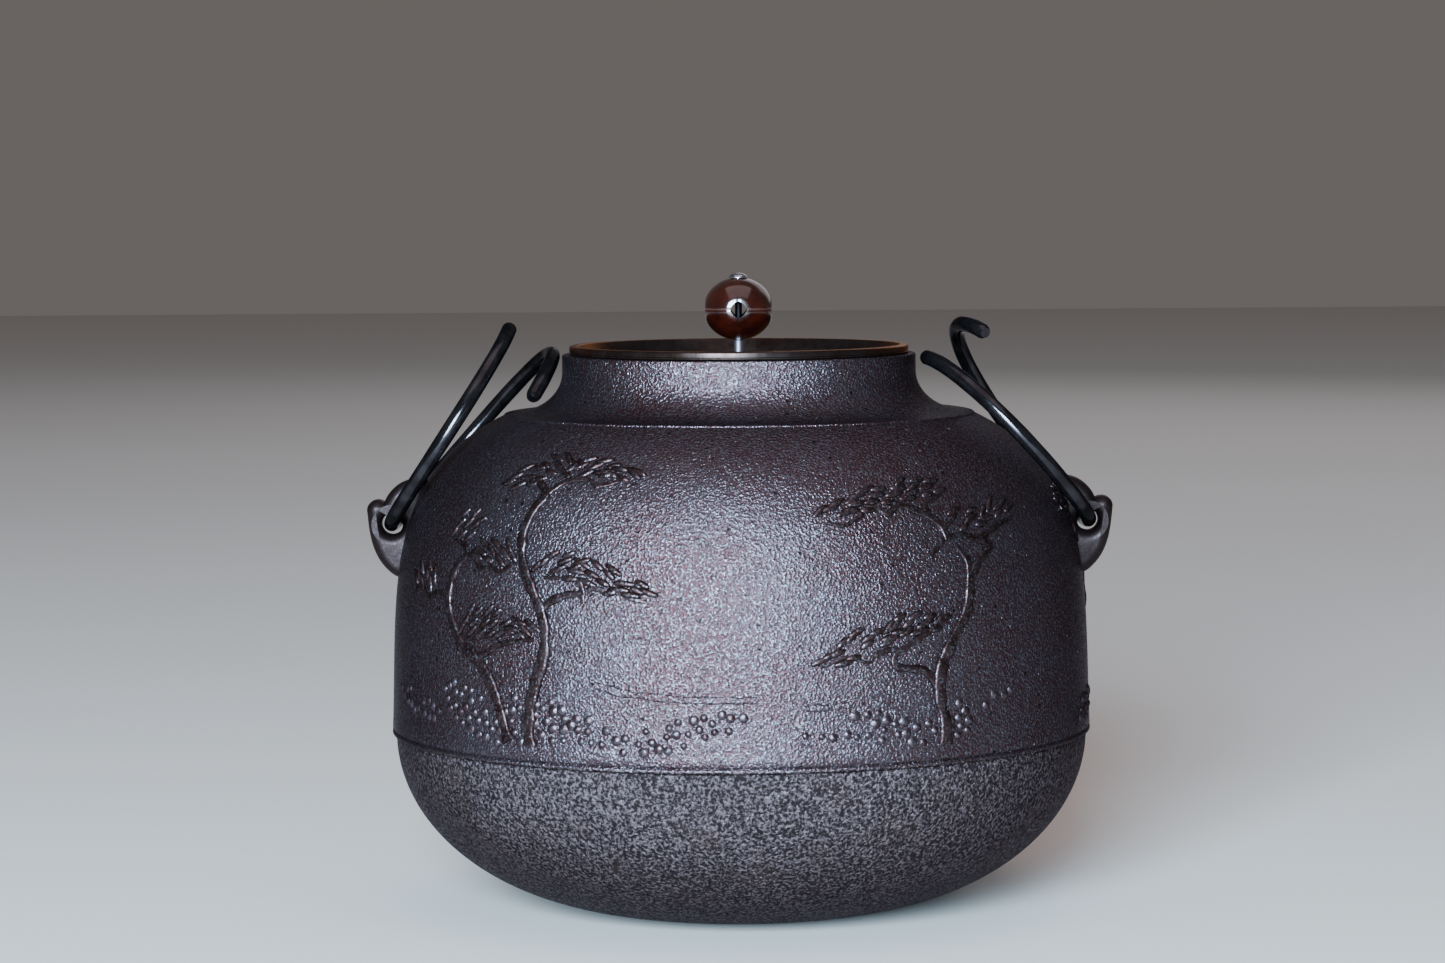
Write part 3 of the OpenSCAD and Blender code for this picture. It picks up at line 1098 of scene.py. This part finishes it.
def ring_tree():
    tree = Tree(
        "open ring", Eye="Vector", Ring_Radius="Float", Rise="Float", Rod="Float",
        From="Float", To="Float", Heading="Float", Twist="Float", Material="Material",
    )
    line = tree.node("GeometryNodeCurvePrimitiveLine", Start=(0, 0, 0), End=(0, 0, 1)).outputs[0]
    line = tree.node("GeometryNodeResampleCurve", Curve=line, Count=260).outputs[0]
    along = tree.node("GeometryNodeSplineParameter").outputs["Factor"]
    sweep = tree.maths("SUBTRACT", tree.given["To"], tree.given["From"])
    angle = tree.maths("ADD", tree.given["From"], tree.maths("MULTIPLY", sweep, along))
    across = tree.maths("SUBTRACT", 1.0, tree.maths("COSINE", angle))
    across = tree.maths("MULTIPLY", across, tree.given["Ring Radius"])
    beside = tree.maths("MULTIPLY", tree.maths("SINE", angle), tree.given["Ring Radius"])
    climb = tree.maths("MULTIPLY", tree.given["Rise"], tree.maths("DIVIDE", angle, -math.pi))
    place = tree.node("ShaderNodeCombineXYZ", X=across, Y=beside, Z=climb).outputs[0]
    place = tree.node(
        "ShaderNodeVectorRotate", {"rotation_type": "X_AXIS"}, Vector=place,
        Angle=tree.given["Twist"],
    ).outputs[0]
    place = tree.node(
        "ShaderNodeVectorRotate", {"rotation_type": "Y_AXIS"}, Vector=place,
        Angle=tree.maths("MULTIPLY", tree.given["Heading"], -1.0),
    ).outputs[0]
    place = tree.vectors("ADD", place, tree.given["Eye"])
    line = tree.node("GeometryNodeSetPosition", Geometry=line, Position=place).outputs[0]
    noise = tree.node(
        "ShaderNodeTexNoise", Vector=tree.node("GeometryNodeInputPosition").outputs[0], Scale=60.0
    ).outputs["Fac"]
    even = tree.node(
        "ShaderNodeMapRange", Value=noise, From_Min=0.3, From_Max=0.7, To_Min=0.955, To_Max=1.0
    ).outputs["Result"]
    to_end = tree.maths("MINIMUM", along, tree.maths("SUBTRACT", 1.0, along))
    filed = tree.node(
        "ShaderNodeMapRange", {"interpolation_type": "SMOOTHSTEP"}, Value=to_end,
        From_Min=-0.001, From_Max=0.0065, To_Min=0.66, To_Max=1.0,
    ).outputs["Result"]
    section = tree.node(
        "GeometryNodeCurvePrimitiveCircle", Resolution=28,
        Radius=tree.maths("MULTIPLY", tree.given["Rod"], 0.5),
    ).outputs[0]
    rod = tree.node(
        "GeometryNodeCurveToMesh", Curve=line, Profile_Curve=section,
        Scale=tree.maths("MULTIPLY", even, filed), Fill_Caps=True,
    ).outputs[0]
    tree.end(rod)
    return tree


RING_TREE = ring_tree()
# Each ring is (side, heading, twist, start, stop), the last four in degrees
RINGS = {
    "left_ring": (-1, 52.6, 2.1, -168, 230),
    "right_ring": (1, 129.2, 7.4, -170, 213),
}
for name, (side, heading, twist, start, stop) in RINGS.items():
    ring = grow(
        add_object(name + "_rod", bpy.data.meshes.new(name + "_rod")), RING_TREE,
        Eye=(side * EYE.x * MM, 0.0, EYE.z * MM), Ring_Radius=RING_R * MM, Rise=RING_RISE * MM,
        Rod=ROD_D * MM, From=math.radians(start), To=math.radians(stop),
        Heading=math.radians(heading), Twist=math.radians(twist), Material=RING_IRON,
    )
    shade_by_angle(ring, 50)
    finish_piece(ring, name, "ring_iron", RING_IRON, name)

# %% [markdown]
# ## The lid
#
# A lid turned from one bronze disc: a thick flat rim that sits on the mouth, and a shallow
# dish that drops inside it and keeps the lid in the middle. The outline is closed in itself,
# because the stud passes through a small hole in the centre.

# %% Turned lid
lid_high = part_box("lid_plate")[1]
LID_R = lid_high.x / MM
RIM_Z = lid_high.z / MM
LID_Z = MOUTH_Z + 0.1
LID_RIM_W = 3.2
DISH_Z = RIM_Z - 5.6
DISH_R = 55.0
DISH_T = 2.0
DISH_SLOPE = 1.5
TAIL_R = 1.2


def lid_outline():
    rim_in = LID_R - LID_RIM_W
    top = [(TAIL_R, DISH_Z), (8, DISH_Z), (rim_in - 6, DISH_Z)]
    top += arc((rim_in - DISH_SLOPE - 1.2, DISH_Z + 1.2), 1.2, 1.2, -90, -15, 6)
    top += arc((rim_in + 0.5, RIM_Z - 0.5), 0.5, 0.5, 165, 90, 4)
    edge = arc((LID_R - 0.7, RIM_Z - 0.7), 0.7, 0.7, 90, 0, 6)
    # A fine turned line round the edge
    edge += [(LID_R, RIM_Z - 1.9), (LID_R - 0.18, RIM_Z - 2.05), (LID_R, RIM_Z - 2.2)]
    edge += arc((LID_R - 0.5, LID_Z + 0.5), 0.5, 0.5, 0, -90, 4)
    under = [(DISH_R, LID_Z), (DISH_R - DISH_SLOPE, DISH_Z - DISH_T + 0.4)]
    under += [(DISH_R - DISH_SLOPE - 0.4, DISH_Z - DISH_T), (TAIL_R, DISH_Z - DISH_T)]
    return top + edge + under


lid = add_object("lid", turned_mesh("lid", lid_outline(), 256, closed=True))
shade_by_angle(lid, 40)
finish_piece(lid, "lid", "lid_bronze", LID_BRONZE, "lid_plate")

# %% [markdown]
# ## The stud, its seat and its washer
#
# The ball turns on one thin stud. Its head is a low silver-grey dome above the ball. Below
# the ball it grows thicker, stands in a small turned seat on the dish, passes through the lid
# and is peened over a washer underneath. Each is a separate turned piece.

# %% Stud, seat and washer
stud_low, stud_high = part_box("knob_stud")
KNOB_Z = BALL_MIDDLE / MM
KNOB_R = 12.1
KNOB_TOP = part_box("knob_upper_shell")[1].z / MM
KNOB_HALF_H = KNOB_TOP - KNOB_Z
STEM_R = 1.6
SPINDLE_R = 1.2
HEAD_R = 3.25
SEAT_H = 1.4
SEAT_R = 5.5
WASHER_R = 4.0
WASHER_H = 0.9
PLAY_ABOVE = 0.17
PLAY_BELOW = 0.12


def stud_outline():
    tail_z = DISH_Z - DISH_T - WASHER_H
    head_z = KNOB_TOP + PLAY_ABOVE
    stem_top = KNOB_Z - KNOB_HALF_H - PLAY_BELOW
    tail = arc((0, tail_z), 2.3, tail_z - stud_low.z / MM, -90, 0, 6)
    shank = [(TAIL_R, tail_z), (TAIL_R, DISH_Z + SEAT_H), (STEM_R, DISH_Z + SEAT_H)]
    stem = [(STEM_R, stem_top - 0.3), (STEM_R - 0.2, stem_top), (SPINDLE_R, stem_top)]
    head = arc((0, head_z), HEAD_R, stud_high.z / MM - head_z, 0, 90, 10)
    return tail + shank + stem + [(SPINDLE_R, head_z)] + head


def seat_outline():
    foot = [(TAIL_R, DISH_Z), (SEAT_R, DISH_Z), (SEAT_R, DISH_Z + 0.35)]
    flare = arc((SEAT_R - 0.2, DISH_Z + SEAT_H), 2.7, 0.9, -90, -180, 8)
    return foot + flare + [(TAIL_R, DISH_Z + SEAT_H)]


def washer_outline():
    top, bottom = DISH_Z - DISH_T, DISH_Z - DISH_T - WASHER_H
    rim = arc((WASHER_R - 0.35, bottom + 0.35), 0.35, 0.35, 0, -90, 4)
    return [(TAIL_R, top), (WASHER_R, top)] + rim + [(TAIL_R, bottom)]


stud = add_object("stud", turned_mesh("stud", stud_outline(), 48))
seat = add_object("stud_seat", turned_mesh("stud_seat", seat_outline(), 64, closed=True))
washer = add_object("stud_rove", turned_mesh("stud_rove", washer_outline(), 48, closed=True))
for piece in (stud, seat, washer):
    shade_by_angle(piece, 40)
finish_piece(stud, "lid", "stud_silver", STUD_SILVER, "knob_stud")
finish_piece(seat, "lid", "knob_bronze", KNOB_BRONZE, "knob_seat")
finish_piece(washer, "lid", "stud_silver", STUD_SILVER, "stud_washer")

# %% [markdown]
# ## The ball knob
#
# The knob is a hollow ball of two halves. A fine line shows where they meet, and two more
# lines run over the top, so the four holes lie where the lines cross. Each hole sits in a
# shallow dish, and is pinched to four soft corners. Each half is a shell of two skins; the
# outer skin is pushed in by a formula for the lines and dishes. The holes are then cut with
# a Boolean, which keeps the shell closed.

# %% Ball knob in two halves
KNOB_WALL = 1.3
KNOB_POLE_R = 2.6
POLE_LIFT = 0.26  # how far the ball would rise above its flat pole
KNOB_HOLE_R = 2.9
PINCH = 1.35  # 1 is a round hole, 3 a star
BORE_R = 1.25
DISH_WIDTH = 4.2
DISH_DEEP = 0.5
LINE_DEEP = 0.08
LINE_WIDTH = 0.35
AROUND = 160
UPWARD = 30


def pressed_in(x, y, z):
    """How far the outer skin lies below the plain ball at a place, in mm."""
    depth = 0.0
    for hx, hy in ((1, 0), (0, 1), (-1, 0), (0, -1)):
        if x * hx + y * hy > 0:
            away = math.hypot(x * hy - y * hx, z)
            if away < DISH_WIDTH:
                depth += DISH_DEEP * (1 - (away / DISH_WIDTH) ** 2) ** 1.2
    to_line = min(abs(z), abs(x), abs(y))
    return depth + LINE_DEEP * math.exp(-((to_line / LINE_WIDTH) ** 2))


def half_ball(name, side):
    """side is 1 for the upper half and -1 for the lower."""
    reach_out = math.acos(KNOB_POLE_R / KNOB_R)
    vertices, faces = [], []

    def skin(inward):
        rings = []
        radius, half_h = KNOB_R - inward, KNOB_HALF_H + POLE_LIFT - inward
        for i in range(UPWARD + 1):
            up = reach_out * i / UPWARD
            ring = []
            for j in range(AROUND):
                angle = 2 * math.pi * (j + 0.5) / AROUND
                x = radius * math.cos(up) * math.cos(angle)
                y = radius * math.cos(up) * math.sin(angle)
                z = half_h * math.sin(up)
                if not inward:
                    scale = 1 - pressed_in(x, y, z) / math.sqrt(x * x + y * y + z * z)
                    x, y, z = x * scale, y * scale, z * scale
                ring.append(len(vertices))
                vertices.append((x, y, KNOB_Z + side * z))
            rings.append(ring)
        return rings

    def bore(height):
        ring = []
        for j in range(AROUND):
            angle = 2 * math.pi * (j + 0.5) / AROUND
            ring.append(len(vertices))
            place = (BORE_R * math.cos(angle), BORE_R * math.sin(angle), KNOB_Z + side * height)
            vertices.append(place)
        return ring

    outside, inside = skin(0), skin(KNOB_WALL)
    outer_top = abs(vertices[outside[-1][0]][2] - KNOB_Z)
    inner_top = abs(vertices[inside[-1][0]][2] - KNOB_Z)
    loop = outside + [bore(outer_top), bore(inner_top)] + inside[::-1]
    for low, high in zip(loop, loop[1:] + loop[:1]):
        for j in range(AROUND):
            k = (j + 1) % AROUND
            faces.append((low[j], low[k], high[k], high[j]))
    return add_object(name, mesh_from(name, vertices, faces))


def hole_cutter(turned):
    """A bar with four soft corners that passes right through the ball."""
    steps = 40
    vertices, faces = [], []
    for end in (-1, 1):
        for j in range(steps):
            angle = 2 * math.pi * j / steps
            side_way, up_way = (
                KNOB_HOLE_R * math.copysign(abs(reach) ** PINCH, reach)
                for reach in (math.cos(angle), math.sin(angle))
            )
            along = end * (KNOB_R + 2)
            x, y = (side_way, along) if turned else (along, side_way)
            vertices.append((x, y, KNOB_Z + up_way))
    for j in range(steps):
        k = (j + 1) % steps
        faces.append((j, k, steps + k, steps + j))
    faces.append(tuple(range(steps)))
    faces.append(tuple(range(2 * steps - 1, steps - 1, -1)))
    return add_object("hole_cutter", mesh_from("hole_cutter", vertices, faces))


def cut_away(piece, cutter):
    modifier = piece.modifiers.new("cut", "BOOLEAN")
    modifier.operation = "DIFFERENCE"
    modifier.solver = "EXACT"
    modifier.object = cutter
    mesh = plain_mesh(piece)
    piece.modifiers.remove(modifier)
    piece.data = mesh


cutters = [hole_cutter(False), hole_cutter(True)]
for side, name in ((1, "upper"), (-1, "lower")):
    half = half_ball("ball_" + name, side)
    for cutter in cutters:
        cut_away(half, cutter)
    shade_by_angle(half, 40)
    finish_piece(half, "knob", "knob_bronze", KNOB_BRONZE, "knob_" + name + "_shell")
for cutter in cutters:
    bpy.data.objects.remove(cutter)

# %% [markdown]
# ## The singing plates
#
# Small flakes of iron are stuck to the inside of the bottom with lacquer. Steam gathers under
# them and makes the kettle sing. They are rough offcuts, so each is a low turned button whose
# rim wanders in and out by a few waves.

# %% Flakes of iron on the bottom
for number in (1, 2, 3):
    low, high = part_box(f"singing_plate_{number}")
    centre = (low + high) / 2 / MM
    plate_r = (high.x - low.x) / 2 / MM
    top = high.z / MM
    outline = [(0, FLOOR_T), (plate_r - 0.1, FLOOR_T), (plate_r - 0.1, top - 0.6)]
    outline += [(plate_r - 0.5, top - 0.1), (plate_r - 1.2, top), (0, top)]
    mesh = turned_mesh(f"singing_flake_{number}", outline, 72)
    for vertex in mesh.vertices:
        angle = math.atan2(vertex.co.y, vertex.co.x)
        wander = 0.93 + 0.045 * math.sin(3 * angle + number) + 0.02 * math.sin(7 * angle + 2 * number)
        vertex.co.x = vertex.co.x * wander + centre.x * MM
        vertex.co.y = vertex.co.y * wander + centre.y * MM
    flake = add_object(f"singing_flake_{number}", mesh)
    shade_by_angle(flake, 40)
    finish_piece(flake, "kettle", "plate_iron", PLATE_IRON, f"singing_plate_{number}")

# %% [markdown]
# ## Floor and light
#
# Dark iron shows its form only through what it reflects. One soft light stands behind the
# camera, above it and to its left, so its reflection runs down the belly near the middle and
# across the neck, and the shoulder and the sides fall away into shade. A dim light overhead lifts the
# shoulder, and a dim one behind keeps the back from going black. The floor is plain and pale.


# %% Floor and lights
FLOOR_WIDTH = 12.0


def make_floor():
    finish = Finish("pale floor", Roughness=0.7)
    finish.colour(finish.mix(finish.noise(900, 2), (0.62, 0.56, 0.51), (0.66, 0.60, 0.56)))
    half = FLOOR_WIDTH / 2
    mesh = bpy.data.meshes.new("floor")
    corners = [(-half, -half, 0), (half, -half, 0), (half, half, 0), (-half, half, 0)]
    mesh.from_pydata(corners, [], [(0, 1, 2, 3)])
    mesh.materials.append(finish.material)
    add_object("floor", mesh)


def make_light(name, place, target, width, height, power, colour):
    data = bpy.data.lights.new(name, "AREA")
    data.shape = "RECTANGLE"
    data.size = width
    data.size_y = height
    data.energy = power
    data.color = colour
    light = add_object(name, data)
    light.location = place
    light.rotation_euler = (Vector(target) - Vector(place)).to_track_quat("-Z", "Y").to_euler()


def make_world(colour, strength):
    world = bpy.data.worlds.new("studio")
    world.use_nodes = True
    background = world.node_tree.nodes["Background"]
    background.inputs["Color"].default_value = (*colour, 1)
    background.inputs["Strength"].default_value = strength
    bpy.context.scene.world = world


make_floor()
make_world((0.96, 0.86, 0.82), 0.15)
make_light("window", (-0.43, -2.3, 0.63), (0, 0, 0.12), 0.90, 0.95, 430, (0.54, 0.79, 1.0))
make_light("overhead", (0, -0.5, 2.1), (0, 0, 0.15), 2.2, 2.2, 19, (1.0, 0.85, 0.88))
make_light("back fill", (1.2, 2.6, 1.6), (0, 0, 0.10), 3.0, 2.0, 14, (0.95, 0.93, 1.0))
